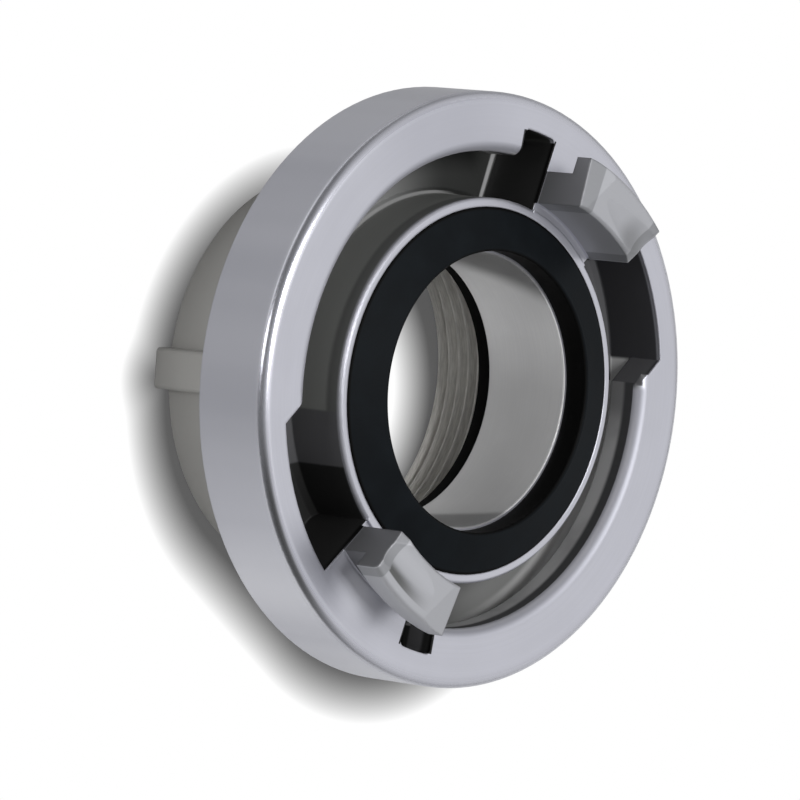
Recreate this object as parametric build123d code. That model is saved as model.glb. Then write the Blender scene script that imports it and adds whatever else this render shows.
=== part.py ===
import os
from math import cos, degrees, radians, sin

from build123d import *

# Quarter turn fire hose coupling of the 52 mm size: a fixed half with a two inch pipe thread.
# Sizes are in millimetres. It stands on its threaded end with the claws up, axis on Z,
# and the claws lie on the X axis.

# Claws: two hooks, half a turn apart, that lock under the lip of the other half
claw_spacing = 66.0
claw_neck = 5.6
claw_reach = 2.9
claw_height = 9.9
claw_half_angle = 14.2
claw_lead = 8.1
claw_edge = 0.9
claw_foot_relief = 0.5
nose_length = 2.8
nose_drop = 1.2
tail_inner_length = 1.2
tail_length = 6.6
tail_drop = 1.0
valley_radius = 6.0
valley_depth = 0.9
valley_inset = 0.6
valley_end_angle = 5.0

# Running groove that takes the claws of the other half
sleeve_clearance = 1.35
neck_clearance = 0.6
hook_clearance = 2.4
floor_clearance = 2.4
locked_clearance = 0.05
groove_bevel = 1.0
wall_gap_angle = 0.2

# Ring with its lip
ring_wall = 5.1
floor_web = 3.5
face_round = 1.4
back_bevel = 1.2
lip_entry_thickness = 3.3
lip_round = 1.8
notch_angle = 9.8
notch_round = 1.0
entry_angle = 34.5
entry_slope_angle = 5.2

# Sleeve, seal seat and waterway
sleeve_wall = 1.45
sleeve_bevel = 0.4
bore_diameter = 45.0
seat_ring_wall = 2.7
seat_ring_drop = 2.0
seal_seat_depth = 7.5
seal_undercut = 0.45
seal_undercut_height = 1.8

# Front seal, moulded rubber
seal_clearance = 0.1
seal_rim_rise = 0.1
seal_lip_rise = 2.7
seal_lip_inset = 0.6
seal_lip_bevel = 0.5

# Hub with the female pipe thread, cut to its major diameter
body_depth = 38.8
hub_wall = 3.0
hub_chamfer = 0.6
hub_bevel = 2.0
thread_major_diameter = 59.614
thread_length = 15.8
thread_chamfer = 0.6
thread_relief = 0.6

# Flat thread gasket
gasket_thickness = 3.0
gasket_clearance = 0.3
gasket_float = 0.2
gasket_width = 7.1

# Spanner ribs on the hub
rib_width = 6.8
rib_height = 2.6
rib_round = 0.8
rib_angle = 123.25

# Radii and heights that follow from the sizes above
claw_r = claw_spacing / 2
neck_r = claw_r + claw_neck
hook_r = neck_r + claw_reach
sleeve_r = claw_r - sleeve_clearance
seat_r = sleeve_r - sleeve_wall
bore_r = bore_diameter / 2
seat_ring_r = bore_r + seat_ring_wall
lip_r = neck_r + neck_clearance
groove_r = hook_r + hook_clearance
ring_r = groove_r + ring_wall
thread_r = thread_major_diameter / 2
relief_r = thread_r + thread_relief
hub_r = relief_r + hub_wall
face_z = body_depth
floor_z = face_z - claw_height - floor_clearance
back_z = floor_z - floor_web
thread_top_z = thread_chamfer + thread_length
shoulder_z = thread_top_z + gasket_float + gasket_thickness
seat_z = face_z - seal_seat_depth
seat_ring_z = face_z - seat_ring_drop

# Angles of the features between one claw and the next, counted from the first claw's middle
wall_angle = claw_half_angle + wall_gap_angle
entry_end = 180 - wall_angle
entry_start = entry_end - entry_angle
lip_end = entry_start - entry_slope_angle
lip_lock_thickness = lip_entry_thickness + claw_lead * (lip_end - wall_angle) / 360

over = 1.0
half_turns = (0, 180)


def turned(outline, start=0.0, arc=360.0):
    """Turn a face drawn in the XZ plane about Z, from one angle through an arc."""
    return Rot(0, 0, start) * revolve(outline, Axis.Z, arc)


def outline(*points):
    """Closed face in the XZ plane through (radius, height) points."""
    return make_face(Plane.XZ * Polyline(*points, close=True))


def band(r_in, r_out, low, high, start, arc):
    """Annular sector of rectangular section."""
    return turned(outline((r_in, low), (r_out, low), (r_out, high), (r_in, high)), start, arc)


def climbing_band(r_in, r_out, top, height, start, arc):
    """Sector of rectangular section that climbs with the lead of the claws."""
    middle = (r_in + r_out) / 2
    path = Helix(claw_lead, claw_lead * arc / 360, middle)
    section = Plane.XZ * Pos(middle, -height / 2) * Rectangle(r_out - r_in, height)
    return Pos(0, 0, top) * Rot(0, 0, start) * sweep(section, path=path, is_frenet=True)


def polar(radius, angle):
    """Point of the XY plane at a radius and an angle in degrees."""
    return (radius * cos(radians(angle)), radius * sin(radians(angle)))


def turned_blank():
    """The whole turned form with the waterway, seal seat and thread bore, still without a groove."""
    shell = outline(
        (thread_r + thread_chamfer, 0),
        (hub_r - hub_chamfer, 0),
        (hub_r, hub_chamfer),
        (hub_r, back_z),
        (ring_r, back_z),
        (ring_r, face_z),
        (seat_r, face_z),
        (seat_r, seat_z + seal_undercut_height + seal_undercut),
        (seat_r + seal_undercut, seat_z + seal_undercut_height),
        (seat_r + seal_undercut, seat_z),
        (seat_ring_r, seat_z),
        (seat_ring_r, seat_ring_z),
        (bore_r, seat_ring_z),
        (bore_r, shoulder_z),
        (relief_r, shoulder_z),
        (relief_r, thread_top_z),
        (thread_r, thread_top_z),
        (thread_r, thread_chamfer),
    )
    shell = fillet(near(shell.vertices(), ring_r, face_z), face_round)
    shell = chamfer(near(shell.vertices(), ring_r, back_z), back_bevel)
    shell = chamfer(near(shell.vertices(), hub_r, back_z), hub_bevel)
    return turned(shell)


def near(vertices, radius, height):
    """The corner of an outline that lies closest to a radius and height."""
    return vertices.sort_by_distance((radius, 0, height))[0]


def groove_cutter():
    """What is cut away between two claws: front opening, undercut, notch and entry gap."""
    arc = entry_end - wall_angle
    opening = outline(
        (sleeve_r, floor_z),
        (lip_r, floor_z),
        (lip_r, face_z - lip_round),
        (lip_r + lip_round, face_z - lip_round),
        (lip_r + lip_round, face_z + over),
        (sleeve_r - sleeve_bevel - over, face_z + over),
        (sleeve_r, face_z - sleeve_bevel),
    )
    opening = chamfer(near(opening.vertices(), sleeve_r, floor_z), groove_bevel)
    opening -= Plane.XZ * Pos(lip_r + lip_round, face_z - lip_round) * Circle(lip_round)
    cutter = turned(opening, wall_angle, arc)

    undercut_top = face_z - lip_lock_thickness - over
    undercut = outline(
        (lip_r - over, floor_z),
        (groove_r, floor_z),
        (groove_r, undercut_top),
        (lip_r - over, undercut_top),
    )
    undercut = chamfer(near(undercut.vertices(), groove_r, floor_z), groove_bevel)
    cutter += turned(undercut, wall_angle, arc)

    climb_start = wall_angle + notch_angle / 2
    climb_arc = lip_end + entry_slope_angle - climb_start
    climb_top = face_z - lip_entry_thickness - claw_lead * (lip_end - climb_start) / 360
    climb_height = climb_top - floor_z - 2 * groove_bevel
    cutter += climbing_band(lip_r - over, groove_r, climb_top, climb_height, climb_start, climb_arc)

    notch = band(lip_r - over, groove_r, undercut_top - over, face_z + over, wall_angle, notch_angle)
    cutter += fillet(outer_uprights(notch), notch_round)

    cutter += band(lip_r - over, groove_r, undercut_top - over, face_z + over, entry_start, entry_angle)
    slope = make_face(
        Polyline(
            polar(lip_r - over, lip_end),
            polar(lip_r, lip_end),
            polar(groove_r, entry_start),
            polar(groove_r, entry_start + over),
            polar(lip_r - over, entry_start + over),
            close=True,
        )
    )
    return cutter + extrude(Pos(0, 0, undercut_top - over) * slope, face_z - undercut_top + 2 * over)


def outer_uprights(solid):
    """The vertical edges of a sector at its outer radius."""
    return solid.edges().filter_by(Axis.Z).group_by(lambda e: Vector(e.center().X, e.center().Y).length)[-1]


def point(radius, angle, height):
    """Point in space from its radius, its angle in degrees and its height."""
    return Vector(radius * cos(radians(angle)), radius * sin(radians(angle)), height)


def block_over(a, b, c):
    """Block that stands on the plane through three points, listed counter-clockwise from above."""
    size = 6 * claw_height
    plane = Plane(origin=a, x_dir=b - a, z_dir=(b - a).cross(c - a))
    return plane * Box(size, size, size, align=(Align.CENTER, Align.CENTER, Align.MIN))


def claw():
    """The hook on +X: climbing underside, a sloped nose and tail, and a valley in its front."""
    top_z = face_z + claw_height
    section = outline((claw_r, face_z - over), (hook_r, face_z - over), (hook_r, top_z), (claw_r, top_z))
    section = fillet(near(section.vertices(), hook_r, top_z), claw_edge)
    section = chamfer(near(section.vertices(), claw_r, top_z), claw_edge / 2)
    hook = turned(section, -claw_half_angle, 2 * claw_half_angle)

    under_arc = 2 * (claw_half_angle + over)
    under_start = -claw_half_angle - over
    under_z = face_z + lip_lock_thickness + locked_clearance - claw_lead * under_arc / 360
    hook -= climbing_band(neck_r, hook_r + over, under_z, lip_entry_thickness, under_start, under_arc)
    hook -= band(neck_r, hook_r + over, face_z - 2 * over, under_z - over, under_start, under_arc)

    nose = point(claw_r, -claw_half_angle, top_z - nose_drop)
    nose_inner = point(claw_r, -claw_half_angle + degrees(nose_length / claw_r), top_z)
    nose_outer = point(hook_r, -claw_half_angle, top_z)
    hook -= block_over(nose, nose_outer, nose_inner)

    tail = point(hook_r, claw_half_angle, top_z - tail_drop)
    tail_inner = point(claw_r, claw_half_angle - degrees(tail_inner_length / claw_r), top_z)
    tail_outer = point(hook_r, claw_half_angle - degrees(tail_length / hook_r), top_z)
    hook -= block_over(tail, tail_inner, tail_outer)

    valley_r = (claw_r + hook_r) / 2 - valley_inset
    valley_start = point(valley_r, -claw_half_angle, top_z + valley_radius - valley_depth)
    valley_end = point(valley_r, valley_end_angle, top_z + valley_radius)
    axis = Plane(origin=valley_start, z_dir=valley_end - valley_start)
    return hook - axis * Cylinder(valley_radius, 4 * claw_height)


def spanner_rib():
    """Rib along the hub, from the back of the ring to the threaded end."""
    depth = rib_height + hub_wall / 2
    rib = Box(depth, rib_width, back_z + floor_web / 2, align=(Align.MAX, Align.CENTER, Align.MIN))
    rib = fillet(rib.edges().filter_by(Axis.Z).group_by(Axis.X)[-1], rib_round)
    return Rot(0, 0, rib_angle) * Pos(hub_r + rib_height, 0, 0) * rib


def coupling_body():
    body = turned_blank()
    relief = band(sleeve_r, claw_r, face_z - claw_foot_relief, face_z + over, -wall_angle, 2 * wall_angle)
    for half_turn in half_turns:
        body -= Rot(0, 0, half_turn) * (groove_cutter() + relief)
        body += Rot(0, 0, half_turn) * claw()
        body += Rot(0, 0, half_turn) * spanner_rib()
    return body


def front_seal():
    """Rubber lip seal: its foot sits in the undercut seat and its lip stands proud of the face."""
    foot_r = seat_r - seal_clearance
    throat_r = seat_ring_r + seal_clearance
    lip_inner_r = bore_r + seal_lip_inset
    section = outline(
        (throat_r, seat_z),
        (foot_r + seal_undercut, seat_z),
        (foot_r + seal_undercut, seat_z + seal_undercut_height - seal_clearance),
        (foot_r, seat_z + seal_undercut_height + seal_undercut - seal_clearance),
        (foot_r, face_z + seal_rim_rise),
        (lip_inner_r, face_z + seal_lip_rise),
        (lip_inner_r, seat_ring_z),
        (throat_r, seat_ring_z),
    )
    section = chamfer(near(section.vertices(), lip_inner_r, face_z + seal_lip_rise), seal_lip_bevel)
    return turned(section)


def thread_gasket():
    """Flat rubber washer that lies on the shoulder, in the relief at the bottom of the thread."""
    outer = relief_r - gasket_clearance
    inner = outer - gasket_width
    return turned(
        outline(
            (inner, shoulder_z - gasket_thickness),
            (outer, shoulder_z - gasket_thickness),
            (outer, shoulder_z),
            (inner, shoulder_z),
        )
    )


os.makedirs("parts", exist_ok=True)
export_step(coupling_body(), "parts/coupling_body.step")
export_step(front_seal(), "parts/front_seal.step")
export_step(thread_gasket(), "parts/thread_gasket.step")
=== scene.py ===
from math import cos, degrees, pi, sin

import bpy
from mathutils import Matrix, Vector


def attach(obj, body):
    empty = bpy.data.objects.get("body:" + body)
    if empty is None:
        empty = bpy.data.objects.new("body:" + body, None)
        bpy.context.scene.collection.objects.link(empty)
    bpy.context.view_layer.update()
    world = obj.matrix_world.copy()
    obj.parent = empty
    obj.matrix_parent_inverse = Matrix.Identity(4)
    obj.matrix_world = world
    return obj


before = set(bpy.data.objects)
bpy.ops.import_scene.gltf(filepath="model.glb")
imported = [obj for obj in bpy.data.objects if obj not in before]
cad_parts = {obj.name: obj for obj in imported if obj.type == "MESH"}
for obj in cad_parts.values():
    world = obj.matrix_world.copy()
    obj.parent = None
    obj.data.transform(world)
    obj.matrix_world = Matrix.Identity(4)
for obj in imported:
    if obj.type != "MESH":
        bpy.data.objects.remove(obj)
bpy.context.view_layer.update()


# Coupling body: ring, claws, running groove, sleeve, hub and ribs, pressed from aluminium in one piece
# and then turned. The turned faces are a fine satin silver, and the hub keeps the darker skin of the
# forging. The running groove and the gaps are darker partly as the forging's skin and partly from
# painted shade. Painted light, highlights and reflections lie on the groove, claws, face, side and bore.

class Wire:
    """One output of a material's nodes. Arithmetic on it adds Math nodes, and node() adds any other node."""

    def __init__(self, tree, socket=None):
        self.tree = tree
        self.socket = socket

    def node(self, kind, settings, inputs, output=0):
        """Adds a node, with its settings and the values or Wires of its sockets, and gives one output."""
        made = self.tree.nodes.new("ShaderNode" + kind)
        for name, value in settings.items():
            setattr(made, name, value)
        for name, value in inputs.items():
            if isinstance(value, Wire):
                self.tree.links.new(value.socket, made.inputs[name])
            else:
                made.inputs[name].default_value = value
        return Wire(self.tree, made.outputs[output])

    def maths(self, operation, *others):
        return self.node("Math", {"operation": operation}, dict(enumerate((self, *others))))

    def __add__(self, other):
        return self.maths("ADD", other)

    def __sub__(self, other):
        return self.maths("SUBTRACT", other)

    def __rsub__(self, other):
        return self * -1.0 + other

    def __mul__(self, other):
        return self.maths("MULTIPLY", other)

    def __truediv__(self, other):
        return self.maths("DIVIDE", other)

    __radd__ = __add__
    __rmul__ = __mul__

    def ramp(self, low, high, at_low=0.0, at_high=1.0):
        """Goes smoothly from at_low to at_high as this value goes from low to high."""
        return self.node("MapRange", {"interpolation_type": "SMOOTHSTEP"},
                         {0: self, 1: low, 2: high, 3: at_low, 4: at_high})

    def between(self, low, high, soft=0.05):
        """1 where this value lies between low and high, and 0 outside."""
        return self.ramp(low - soft, low + soft) * self.ramp(high - soft, high + soft, 1.0, 0.0)

    def blend(self, plain, marked):
        """Mixes two colours, by this value as the mask."""
        return self.node("Mix", {"data_type": "RGBA"}, {0: self, 6: plain, 7: marked}, 2)

    def bend(self, plain, marked):
        """Mixes two vectors, by this value as the mask."""
        return self.node("Mix", {"data_type": "VECTOR"}, {0: self, 4: plain, 5: marked}, 1)

    def vector(self, operation, *others, **named):
        """Adds a Vector Math node that gives a vector."""
        inputs = {**dict(enumerate((self, *others))), **named}
        return self.node("VectorMath", {"operation": operation}, inputs)

    def along(self, direction):
        """Dot product of this vector with a direction."""
        return self.node("VectorMath", {"operation": "DOT_PRODUCT"}, {0: self, 1: direction}, "Value")

    def reach(self, point):
        """Distance from this vector to a point, both in metres, as millimetres."""
        return self.node("VectorMath", {"operation": "DISTANCE"}, {0: self, 1: point}, "Value") * 1000.0

    def noise(self, scale, detail):
        """Cloudy noise over this vector."""
        return self.node("TexNoise", {}, {"Vector": self, "Scale": scale, "Detail": detail})


def new_material(name):
    """A material with an empty tree, and a Wire to start its nodes from."""
    material = bpy.data.materials.new(name)
    material.use_nodes = True
    material.node_tree.nodes.clear()
    return material, Wire(material.node_tree)


def finish_surface(wire, inputs):
    """Ends a material with its Principled shader."""
    surface = wire.node("BsdfPrincipled", {}, inputs)
    output = wire.tree.nodes.new("ShaderNodeOutputMaterial")
    wire.tree.links.new(surface.socket, output.inputs["Surface"])


def round_place(place):
    """Radius and height of a place in millimetres, and its angle in degrees within each half turn."""
    x, y, height = (place.node("SeparateXYZ", {}, {0: place}, axis) * 1000.0 for axis in range(3))
    radius = (x * x + y * y).maths("SQRT")
    turn = y.maths("ARCTAN2", x) * degrees(1.0)
    return radius, height, (turn + 360.0).maths("MODULO", 180.0)


# Sizes are in millimetres, and angles in degrees within each half turn, because both halves of the ring
# are alike. A value with two numbers says from where to where a finish lies or fades.
ring_radius = 49.0
ring_back = 23.0
face_height = 38.8
groove_radius = 43.9
lip_radius = 39.2
sleeve_radius = 31.65
bore_radius = 22.5
groove_floor = 26.5
groove_start = 14.4
groove_end = 165.6
entry_start = 131.1

turned_silver = (0.555, 0.56, 0.62, 1.0)
turned_shade = (0.525, 0.53, 0.585, 1.0)
# The ring's side: bands of painted reflection, and one stretch of painted light.
side_silver = (0.47, 0.475, 0.52, 1.0)
side_reflection_shade = (0.42, 0.425, 0.47, 1.0)
side_painted_light = (0.55, 0.555, 0.595, 1.0)
side_painted_light_turn = (158.0, 174.0)


def turned_skin(radius, angle, outward, cloud, lathe_lines):
    """Satin silver of the turned faces. The ring's side has broad bands of painted reflection and one stretch
    of painted light.
    """
    face = (cloud * 0.5 + lathe_lines * 0.5).ramp(0.3, 0.7).blend(turned_shade, turned_silver)
    side = outward.noise(70.0, 2.0).ramp(0.35, 0.65).blend(side_reflection_shade, side_silver)
    side = angle.between(*side_painted_light_turn, 9.0).blend(side, side_painted_light)
    return radius.ramp(ring_radius - 0.6, ring_radius - 0.1).blend(face, side)


claw_silver = (0.40, 0.405, 0.43, 1.0)
# Darker greys of painted shade on the claws' sloped faces, their ends and their necks.
nose_shade_silver = (0.27, 0.275, 0.29, 1.0)
end_shade_gray = (0.19, 0.192, 0.202, 1.0)
shade_gray = (0.09, 0.092, 0.09, 1.0)
nose_turn = (9.2, 14.0)
tail_turn = (166.1, 168.9)
unshaded_crest_turn = (150.0, 168.9)
claw_crest = (47.6, 47.9)
neck_radius = (38.3, 38.8)
neck_height = (39.0, 44.0)
neck_turn = (165.0, 165.5)
# Middle of the painted shade in the upper claw's valley.
claw_valley_shade = (0.0352, -0.0056, 0.0482)


def claw_skin_and_shade(angle, upper_claw, on_end):
    """Matt silver of the pressed claws, with painted shade on the sloped nose and tail and on their ends."""
    on_nose = angle.between(*nose_turn, 0.2) * upper_claw + angle.between(*tail_turn, 0.2)
    return on_end.blend(on_nose.blend(claw_silver, nose_shade_silver), end_shade_gray)


def claw_shades(colour, place, radius, height, angle, outward, upper_claw):
    """Painted shade along the outer edge of the lower claw's crest, fading along the claw, painted shade in
    the upper one's valley, and painted shade on their necks.
    """
    fade = outward.along((0.0, 1000.0, 0.0)).ramp(-5.0, 5.5, 0.0, 0.93) * (1 - upper_claw)
    on_crest = height.ramp(*claw_crest)
    crest_shade = fade * radius.ramp(37.2, 39.2) * radius.ramp(39.7, 40.0, 1.0, 0.0) * on_crest
    crest_shade = crest_shade * (1 - angle.between(*unshaded_crest_turn, 0.3))
    valley_shaded = place.reach(claw_valley_shade).ramp(0.5, 4.5, 0.45, 0.0) * on_crest
    colour = (crest_shade + valley_shaded).blend(colour, shade_gray)
    on_neck = radius.between(*neck_radius) * height.between(*neck_height) * angle.ramp(*neck_turn)
    return on_neck.blend(colour, end_shade_gray)


bore_silver = (0.80, 0.80, 0.81, 1.0)
bore_gray = (0.56, 0.56, 0.565, 1.0)
bore_shade = (0.25, 0.25, 0.255, 1.0)
# Painted light on one side of the bore, and painted shade in a crescent above and below.
painted_light_side = (43.8, -7.7, 0.0)
upper_shade = (0.0, 2546.0, 1390.0)
lower_shade = (-2086.0, 1461.0, 800.0)


def bore_skin(place, outward, cloud, lathe_lines):
    """Wiped silver of the waterway, with painted light on one side and a crescent of painted shade above and
    below.
    """
    bore = outward.along(painted_light_side).ramp(0.65, 1.05).blend(bore_gray, bore_silver)
    bore = (cloud * 0.6 + lathe_lines * 0.4).ramp(0.36, 0.64, 0.10, 0.0).blend(bore, bore_shade)
    bore = place.along(upper_shade).ramp(30.6, 46.0).blend(bore, bore_shade)
    return place.along(lower_shade).ramp(21.4, 27.0).blend(bore, bore_shade)


# Greys of the groove: the forging's skin, with painted shade, painted light and painted highlights.
floor_dark = (0.02, 0.021, 0.02, 1.0)
floor_gray = (0.195, 0.197, 0.195, 1.0)
floor_painted_light = (0.62, 0.62, 0.62, 1.0)
sleeve_gray = (0.17, 0.174, 0.167, 1.0)
foot_highlight_gray = (0.30, 0.30, 0.30, 1.0)
lip_shade = (0.28, 0.28, 0.285, 1.0)
lip_silver = (0.40, 0.40, 0.405, 1.0)
lip_end_gray = (0.20, 0.20, 0.204, 1.0)
start_highlight_gray = (0.34, 0.34, 0.345, 1.0)
under_rim_shade = (0.05, 0.05, 0.053, 1.0)
pocket_gray = (0.085, 0.085, 0.09, 1.0)
gap_gray = (0.036, 0.036, 0.04, 1.0)
recess_shadow_black = (0.012, 0.012, 0.012, 1.0)
foot_top = (28.0, 28.3)
lip_foot = (27.7, 28.5)
start_foot = (27.0, 27.5)
under_face = (35.0, 36.2)
under_rim = (35.0, 37.5)
light_turn = (30.0, 62.0)
foot_turn = (26.0, 37.0)
lip_light_turn = (52.0, 74.0)
lip_end_turn = (114.0, 121.0)
pocket_shadow_turn = (147.0, 147.8)


def groove_skin_and_shade(radius, height, angle, cloud):
    """Groove colour: forged skin with painted shade beside one claw giving way to painted light on the floor,
    painted highlights at the sleeve's foot and by the claw's end, painted shade high on the sleeve and under
    the lip's rim, darker in the gap, and a painted black shadow in the end pocket.
    """
    # Painted shade on the floor beside one claw, and painted light further round and under the lip.
    far_floor = radius.ramp(lip_radius + 0.6, lip_radius + 2.2) * angle.ramp(*lip_light_turn, 0.35, 1.0)
    groove = angle.ramp(*light_turn).blend(floor_dark, far_floor.blend(floor_gray, floor_painted_light))
    # Painted shade high on the sleeve's wall.
    on_sleeve = radius.ramp(sleeve_radius + 0.1, sleeve_radius + 0.3, 1.0, 0.0)
    groove = on_sleeve.blend(groove, height.ramp(*under_face).blend(sleeve_gray, shade_gray))
    # Painted highlight on the round at the sleeve's foot.
    on_foot = radius.between(sleeve_radius + 0.05, sleeve_radius + 0.5, 0.12) * height.ramp(
        *foot_top, 1.0, 0.0) * angle.ramp(*foot_turn)
    groove = on_foot.blend(groove, foot_highlight_gray)
    lip = cloud.ramp(0.35, 0.65).blend(lip_shade, lip_silver)
    lip = angle.ramp(*lip_end_turn).blend(lip, lip_end_gray)
    # Painted shade under the lip's rim.
    on_lip = radius.between(lip_radius - 0.1, lip_radius + 0.4, 0.1) * height.ramp(*lip_foot)
    groove = on_lip.blend(groove, height.between(*under_rim, 0.5).blend(lip, under_rim_shade))
    on_gap_wall = radius.ramp(groove_radius - 0.3, groove_radius - 0.1)
    in_gap = angle.ramp(entry_start - 1.0, entry_start)
    groove = in_gap.blend(groove, on_gap_wall.blend(pocket_gray, gap_gray))
    # Painted highlight in the corner by the claw's end.
    at_start = angle.between(groove_start + 0.4, groove_start + 1.7, 0.3) * height.ramp(*start_foot, 1.0, 0.0)
    groove = at_start.blend(groove, start_highlight_gray)
    # Painted black shadow in the deep pocket at the groove's end.
    at_end = angle.ramp(*pocket_shadow_turn) * radius.ramp(40.0, 41.0, 1.0, 0.0)
    return at_end.blend(groove, recess_shadow_black)


notch_turn = (23.7, 24.6)
notch_foot = (33.0, 33.5)
notch_top = (36.0, 37.0)
slope_turn = (125.5, entry_start + 0.2)
slope_top = (38.3, 38.6)


def groove_walls(colour, radius, height, angle, on_end):
    """Painted shade on the walls that close the groove beside the claws, end the notch, and slope down to the
    gap.
    """
    # Painted shadow on the walls beside the claws, on the notch's end and on the slope.
    end_wall = on_end * radius.between(sleeve_radius, groove_radius - 0.1) * height.between(
        groove_floor + 0.2, face_height + 0.1)
    colour = end_wall.blend(colour, recess_shadow_black)
    notch_wall = angle.between(*notch_turn, 0.1) * radius.between(
        lip_radius - 0.5, groove_radius - 0.2) * height.ramp(*notch_foot)
    colour = notch_wall.blend(colour, height.ramp(*notch_top).blend(pocket_gray, recess_shadow_black))
    on_slope = angle.between(*slope_turn) * radius.between(
        lip_radius + 0.1, groove_radius - 0.1) * height.ramp(*slope_top, 1.0, 0.0)
    return on_slope.blend(colour, pocket_gray)


# Painted light, shade and reflection on the ring's face.
dulled_lit_silver = (0.60, 0.605, 0.66, 1.0)
patch_silver = (0.42, 0.425, 0.48, 1.0)
lip_round_shade = (0.34, 0.343, 0.38, 1.0)
beside_claw = (-0.0405, 0.0028, 0.0388)
face_patch = (0.030, 0.034, 0.0388)
rim_patch = (-0.0445, 0.0135, 0.0388)
edge_reflection_dark = (-0.0440, 0.0215, 0.0383)
lip_round = 1.8


def face_light_and_shade(colour, place, radius, height, dulled_and_lit, lip_corner):
    """A duller patch beside the lower claw with painted light, darker patches on the face (one a painted
    reflection by the lower claw), painted shade on the round over the lip, and a painted dark reflection
    along a stretch of the edge.
    """
    # Duller patch beside the lower claw, lightened with painted light.
    colour = dulled_and_lit.blend(colour, dulled_lit_silver)
    # Darker patches on the face, one of them a painted reflection beside the lower claw.
    dark_patches = place.reach(face_patch).ramp(5.0, 22.0, 0.45, 0.0) + place.reach(rim_patch).ramp(2.0, 12.0, 0.6, 0.0)
    colour = (dark_patches * height.between(face_height - 0.1, face_height + 0.1)).blend(colour, patch_silver)
    # Painted shade on the round over the lip.
    colour = (lip_corner * 0.85).blend(colour, lip_round_shade)
    # Painted dark reflection along a stretch of the ring's edge.
    edge_line = height.ramp(37.5, 38.35) * height.ramp(38.5, 38.79, 1.0, 0.0) * radius.ramp(47.4, 47.7)
    return (edge_line * place.reach(edge_reflection_dark).ramp(6.0, 26.0, 0.8, 0.0)).blend(colour, shade_gray)


def turned_round(radius, height, outward, middle_radius, middle_height):
    """Direction that a round faces when it is turned about a ring of this radius and height."""
    sideways = outward.vector("SCALE", Scale=(radius - middle_radius) / radius)
    upward = height.node("CombineXYZ", {}, {2: (height - middle_height) * 0.001})
    return sideways.vector("ADD", upward).vector("NORMALIZE")


# The light rolls over the ring's edge as over a round of 2.0 mm. The solid has one of 1.4 mm.
face_round = 2.0


def rounded_edges(wire, radius, height, angle, outward):
    """Normals that ease every corner a little, and the rounds at the ring's edge and over the lip more."""
    rim_radius = ring_radius - face_round
    rim_height = face_height - face_round
    on_rim = radius.ramp(rim_radius, rim_radius + 0.05) * height.between(rim_height, face_height + 0.2, 0.02)
    middle_radius = lip_radius + lip_round
    middle_height = face_height - lip_round
    on_lip = radius.between(lip_radius - 0.1, middle_radius, 0.02) * height.ramp(
        middle_height, middle_height + 0.05) * angle.between(25.0, entry_start - 2.0, 0.5)
    eased = wire.node("Bevel", {"samples": 4}, {"Radius": 0.0005})
    eased = on_rim.bend(eased, turned_round(radius, height, outward, rim_radius, rim_height))
    return on_lip.bend(eased, turned_round(radius, height, outward, middle_radius, middle_height))


forged_gray = (0.44, 0.435, 0.42, 1.0)


def body_metal():
    material, wire = new_material("satin_aluminium")
    place = wire.node("TexCoord", {}, {}, "Object")
    outward = place.vector("MULTIPLY", (1, 1, 0))
    radius, height, angle = round_place(place)
    lathe_lines = wire.node("CombineXYZ", {}, {
        0: radius * 2.0, 1: height * 2.0, 2: place.along((40.0, 30.0, 0.0))}).noise(1.6, 4.0)
    grain = place.noise(900.0, 6.0)
    cloud = place.noise(90.0, 3.0)

    on_claw = height.ramp(face_height + 0.1, face_height + 0.3)
    on_hub = height.ramp(ring_back - 0.2, ring_back + 0.4, 1.0, 0.0) * radius.ramp(31.4, 31.6)
    in_bore = radius.ramp(bore_radius + 0.2, bore_radius + 0.3, 1.0, 0.0)
    in_groove = radius.between(sleeve_radius - 0.1, groove_radius + 0.4) * height.between(
        groove_floor - 0.5, face_height - 0.7, 0.4)
    on_end = angle.between(groove_start - 0.3, groove_start + 0.2) + angle.between(
        groove_end - 0.2, groove_end + 0.3)
    upper_claw = outward.along((1000.0, 0.0, 0.0)).ramp(0.0, 5.0)
    dulled_and_lit = place.reach(beside_claw).ramp(1.0, 8.0, 1.0, 0.0) * radius.ramp(38.8, 39.2) * height.between(
        face_height - 0.1, face_height + 0.1)
    lip_corner = radius.ramp(lip_radius - 0.2, lip_radius) * radius.ramp(
        lip_radius + 0.5, lip_radius + lip_round + 0.3, 1.0, 0.0) * height.between(
        37.0, face_height + 0.1) * angle.between(26.0, entry_start - 6.0, 1.0)
    on_edge = radius.ramp(47.4, 47.8) * height.ramp(face_height - 1.6, face_height - 1.3)

    colour = turned_skin(radius, angle, outward, cloud, lathe_lines)
    colour = on_claw.blend(colour, claw_skin_and_shade(angle, upper_claw, on_end))
    colour = on_hub.blend(colour, forged_gray)
    colour = in_bore.blend(colour, bore_skin(place, outward, cloud, lathe_lines))
    colour = in_groove.blend(colour, groove_skin_and_shade(radius, height, angle, cloud))
    colour = groove_walls(colour, radius, height, angle, on_end)
    colour = claw_shades(colour, place, radius, height, angle, outward, upper_claw)
    colour = face_light_and_shade(colour, place, radius, height, dulled_and_lit, lip_corner)
    turned_rough = 0.34 + lathe_lines * 0.08 - on_edge * 0.14
    forged_rough = on_hub * 0.2 + in_groove * 0.15 + on_claw * 0.16 + lip_corner * 0.3
    metallic = 0.88 - on_hub * 0.3 - in_groove * 0.6 - in_bore * 0.5 - on_claw * 0.15 - dulled_and_lit * 0.6
    normal = wire.node("Bump", {}, {
        "Strength": 0.25, "Distance": 0.0001, "Height": grain * (0.15 + on_hub * 1.2) + lathe_lines * 0.35,
        "Normal": rounded_edges(wire, radius, height, angle, outward)})
    finish_surface(wire, {"Base Color": colour, "Roughness": turned_rough + forged_rough,
                          "Metallic": metallic, "Normal": normal})
    return material


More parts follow.
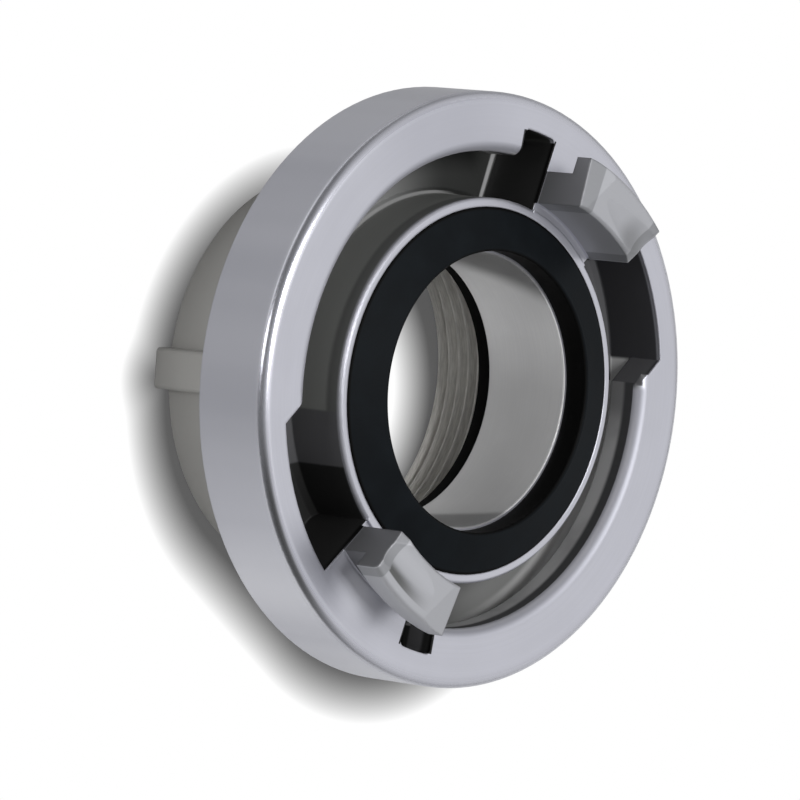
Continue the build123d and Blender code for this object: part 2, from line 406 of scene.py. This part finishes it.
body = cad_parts["coupling_body"]
body.data.materials.clear()
body.data.materials.append(body_metal())


# Pipe thread: 2 inch parallel pipe thread, 11 to the inch, right-hand, with the rounded 55 degree form.
# It is cut into the hub, so its ridges stand inwards from the wall that the body has there.

thread_root = 0.029807
thread_pitch = 0.0254 / 11
thread_depth = 0.00148
thread_low = 0.0006
thread_high = 0.0164
thread_skin = 0.00003
low_run_out = thread_pitch / 3
high_run_out = thread_pitch / 2
thread_gray = (0.48, 0.47, 0.445, 1.0)
thread_silver = (0.64, 0.63, 0.60, 1.0)


def thread_lining():
    """Closed lining of the hub: the thread inside, and the body's own wall outside."""
    around = 144
    rows = 137
    vertices = []
    faces = []
    for row in range(rows + 1):
        height = thread_low + (thread_high - thread_low) * row / rows
        cut = min(1.0, (height - thread_low) / low_run_out, (thread_high - height) / high_run_out)
        for step in range(around):
            turn = step / around
            wave = 0.5 + 0.5 * cos(2 * pi * (height / thread_pitch - turn))
            radius = thread_root - thread_skin - thread_depth * wave * cut
            vertices.append((radius * cos(2 * pi * turn), radius * sin(2 * pi * turn), height))
    for height in (thread_low, thread_high):
        for step in range(around):
            turn = step / around
            vertices.append((thread_root * cos(2 * pi * turn), thread_root * sin(2 * pi * turn), height))
    outer_low = (rows + 1) * around
    outer_high = outer_low + around
    loops = [row * around for row in range(rows + 1)] + [outer_high, outer_low, 0]
    for first, second in zip(loops, loops[1:]):
        for step in range(around):
            after = (step + 1) % around
            faces.append((first + step, second + step, second + after, first + after))
    mesh = bpy.data.meshes.new("pipe_thread")
    mesh.from_pydata(vertices, [], faces)
    mesh.validate()
    mesh.shade_smooth()
    return mesh


def thread_metal():
    material, wire = new_material("cut_aluminium")
    radius, height, angle = round_place(wire.node("TexCoord", {}, {}, "Object"))
    chatter = wire.node("CombineXYZ", {}, {0: radius * 3.0, 1: height * 3.0, 2: angle * 0.15}).noise(1.4, 5.0)
    colour = chatter.ramp(0.3, 0.7).blend(thread_gray, thread_silver)
    normal = wire.node("Bump", {}, {"Strength": 0.3, "Distance": 0.0001, "Height": chatter})
    finish_surface(wire, {"Base Color": colour, "Roughness": 0.58 + chatter * 0.1, "Metallic": 0.35,
                          "Normal": normal})
    return material


pipe_thread = bpy.data.objects.new("pipe_thread", thread_lining())
bpy.context.scene.collection.objects.link(pipe_thread)
pipe_thread.data.materials.append(thread_metal())
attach(pipe_thread, "root")


# Front seal: a moulded rubber ring, held by its foot in the undercut seat of the front face. Its face
# slopes up to a soft lip round the waterway.

seal_lip_radius = 23.1
seal_rim_radius = 30.1
seal_black = (0.0033, 0.0044, 0.0056, 1.0)
seal_dust = (0.005, 0.0066, 0.0082, 1.0)
seal_shade = (0.0006, 0.0006, 0.0006, 1.0)


def moulded_rubber():
    material, wire = new_material("moulded_rubber")
    place = wire.node("TexCoord", {}, {}, "Object")
    radius = round_place(place)[0]
    dust = place.noise(160.0, 5.0)
    in_waterway = radius.ramp(seal_lip_radius + 0.1, seal_lip_radius + 0.5, 1.0, 0.0)
    at_seat = radius.ramp(seal_rim_radius - 0.5, seal_rim_radius - 0.2)
    colour = dust.ramp(0.35, 0.7).blend(seal_black, seal_dust)
    colour = in_waterway.maths("MAXIMUM", at_seat).blend(colour, seal_shade)
    rounded = wire.node("Bevel", {"samples": 4}, {"Radius": 0.0004})
    normal = wire.node("Bump", {}, {
        "Strength": 0.2, "Distance": 0.0001, "Height": place.noise(2600.0, 3.0), "Normal": rounded})
    finish_surface(wire, {"Base Color": colour, "Roughness": 0.5 + dust * 0.2, "Normal": normal,
                          "Specular IOR Level": 0.06})
    return material


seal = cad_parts["front_seal"]
seal.data.materials.clear()
seal.data.materials.append(moulded_rubber())


# Thread gasket: a flat washer cut from black rubber sheet. It lies on the shoulder at the bottom of the
# thread, where the pipe's end presses on it.

gasket_black = (0.0015, 0.0015, 0.0015, 1.0)
gasket_worn = (0.003, 0.003, 0.003, 1.0)


def sheet_rubber():
    material, wire = new_material("sheet_rubber")
    grain = wire.node("TexCoord", {}, {}, "Object").noise(1500.0, 4.0)
    colour = grain.ramp(0.3, 0.7).blend(gasket_black, gasket_worn)
    normal = wire.node("Bump", {}, {"Strength": 0.25, "Distance": 0.0001, "Height": grain})
    finish_surface(wire, {"Base Color": colour, "Roughness": 0.7 + grain * 0.1, "Normal": normal,
                          "Specular IOR Level": 0.05})
    return material


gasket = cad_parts["thread_gasket"]
gasket.data.materials.clear()
gasket.data.materials.append(sheet_rubber())


# Floor: a wide white sheet that the threaded end stands on. The object's soft shadow round the hub's foot
# and one rib is painted into the floor's glow by distance, over a faint real shadow from the lamps, and the
# floor inside the bore is painted light.

floor_half = 6.0
shadow_top = Vector((-0.0030, -0.0005, 0.0))
shadow_bottom = Vector((-0.0050, -0.0262, 0.0))
rib_shadow = (-0.0207, 0.0286, 0.0)
rib_start = 32.6
shadow_start = 27.8
shadow_end = 40.9
hole_middle = (-0.003, -0.002, 0.0)
hole_light = 20.0
hole_dark = 33.0
darkest = 0.33
screen_gamma = 2.2
white = (1.0, 1.0, 1.0, 1.0)
black = (0.0, 0.0, 0.0, 1.0)
floor_shade = (0.08, 0.08, 0.08, 1.0)
# Colours of the floor in reflections, painted lighter towards one side.
mirrored_white = (0.8, 0.8, 0.8, 1.0)
mirrored_gray = (0.5, 0.5, 0.5, 1.0)


def white_floor():
    material, wire = new_material("white_floor")
    place = wire.node("TexCoord", {}, {}, "Object")
    seen = wire.node("LightPath", {}, {}, "Is Camera Ray")
    mirrored = wire.node("LightPath", {}, {}, "Is Glossy Ray")

    axis = shadow_bottom - shadow_top
    from_top = place.vector("SUBTRACT", shadow_top)
    share = from_top.along(axis / axis.length_squared).maths("MAXIMUM", 0.0).maths("MINIMUM", 1.0)
    nearest = wire.node("CombineXYZ", {}, {0: share * axis.x, 1: share * axis.y})
    beside = from_top.vector("SUBTRACT", nearest).reach((0.0, 0.0, 0.0))
    beside = beside.maths("SMOOTH_MIN", place.reach(rib_shadow) + rib_start, 3.0)
    outside = wire.node("MapRange", {}, {0: beside, 1: shadow_start, 2: shadow_end})
    inside = wire.node("MapRange", {}, {0: place.reach(hole_middle), 1: hole_dark, 2: hole_light})
    lightness = outside.maths("MAXIMUM", inside).maths("MAXIMUM", darkest).maths("POWER", screen_gamma)

    shown = seen * lightness
    # A painted glow far off on the floor, seen only in reflections.
    painted_far_glow = mirrored * place.along((-200.0, 980.0, 0.0)).ramp(110.0, 260.0) * place.along(
        (-1000.0, 0.0, 0.0)).ramp(60.0, 110.0, 0.9, 0.0)
    unseen = place.along((600.0, 800.0, 0.0)).ramp(-50.0, 30.0).blend(mirrored_white, mirrored_gray)
    shaded = seen.blend(unseen, floor_shade)
    finish_surface(wire, {"Base Color": shown.blend(shaded, black), "Roughness": 1.0,
                          "Specular IOR Level": 0.0, "Emission Color": (shown + painted_far_glow).blend(black, white),
                          "Emission Strength": 1.0})
    return material


floor_mesh = bpy.data.meshes.new("floor")
floor_mesh.from_pydata([(-floor_half, -floor_half, 0), (floor_half, -floor_half, 0),
                        (floor_half, floor_half, 0), (-floor_half, floor_half, 0)], [], [(0, 1, 2, 3)])
floor = bpy.data.objects.new("floor", floor_mesh)
floor.data.materials.append(white_floor())
bpy.context.scene.collection.objects.link(floor)


# Studio light: a soft box over the face draws the inner bright line along the ring's edge, and one low
# beside the object draws the outer line. A wide one fills the groove, in a pale room all round.

lamp_distance = 1.5
object_middle = Vector((0.0, 0.0, 0.025))


def soft_box(name, direction, width, power):
    lamp = bpy.data.lights.new(name, "AREA")
    lamp.shape = "DISK"
    lamp.size = width
    lamp.energy = power
    holder = bpy.data.objects.new(name, lamp)
    away = Vector(direction).normalized()
    holder.location = object_middle + away * lamp_distance
    holder.rotation_mode = "QUATERNION"
    holder.rotation_quaternion = away.to_track_quat("Z", "Y")
    bpy.context.scene.collection.objects.link(holder)
    return holder


soft_box("over_box", (0.09, 0.30, 0.95), 0.55, 17.0)
soft_box("edge_box", (-0.36, 0.91, 0.20), 0.40, 3.0)
soft_box("fill_box", (-0.50, 0.50, 0.70), 1.2, 6.0).visible_glossy = False

pale_wall = (0.353, -0.62, 0.70)
room_light = 0.28
room = bpy.data.worlds.new("room")
room.use_nodes = True
room.node_tree.nodes.clear()
air = Wire(room.node_tree)
wall_level = air.node("TexCoord", {}, {}, "Generated").along(pale_wall).ramp(-0.1, 0.95, 0.16, 0.84)
from_camera = air.node("LightPath", {}, {}, "Is Camera Ray")
reflected = air.node("LightPath", {}, {}, "Is Glossy Ray")
background = air.node("Background", {}, {
    "Color": white,
    "Strength": from_camera + reflected * wall_level + (1 - from_camera) * (1 - reflected) * room_light})
room_output = room.node_tree.nodes.new("ShaderNodeOutputWorld")
room.node_tree.links.new(background.socket, room_output.inputs["Surface"])
bpy.context.scene.world = room


# Camera: at the photograph's angle, far away with a long lens, and turned so that the waterway points
# to the right.

camera_place = Vector((-0.4266, 0.7443, 0.8622))
camera_up = Vector((0.8238, 0.5609, -0.0820))
camera_back = Vector((-0.3530, 0.6208, 0.7000))
lens = bpy.data.cameras.new("camera")
lens.lens = 327.35
lens.sensor_width = 36.0
camera = bpy.data.objects.new("camera", lens)
camera.matrix_world = Matrix.Translation(camera_place) @ Matrix(
    (camera_up.cross(camera_back), camera_up, camera_back)).transposed().to_4x4()
bpy.context.scene.collection.objects.link(camera)
bpy.context.scene.camera = camera
bpy.context.scene.view_settings.view_transform = "Standard"
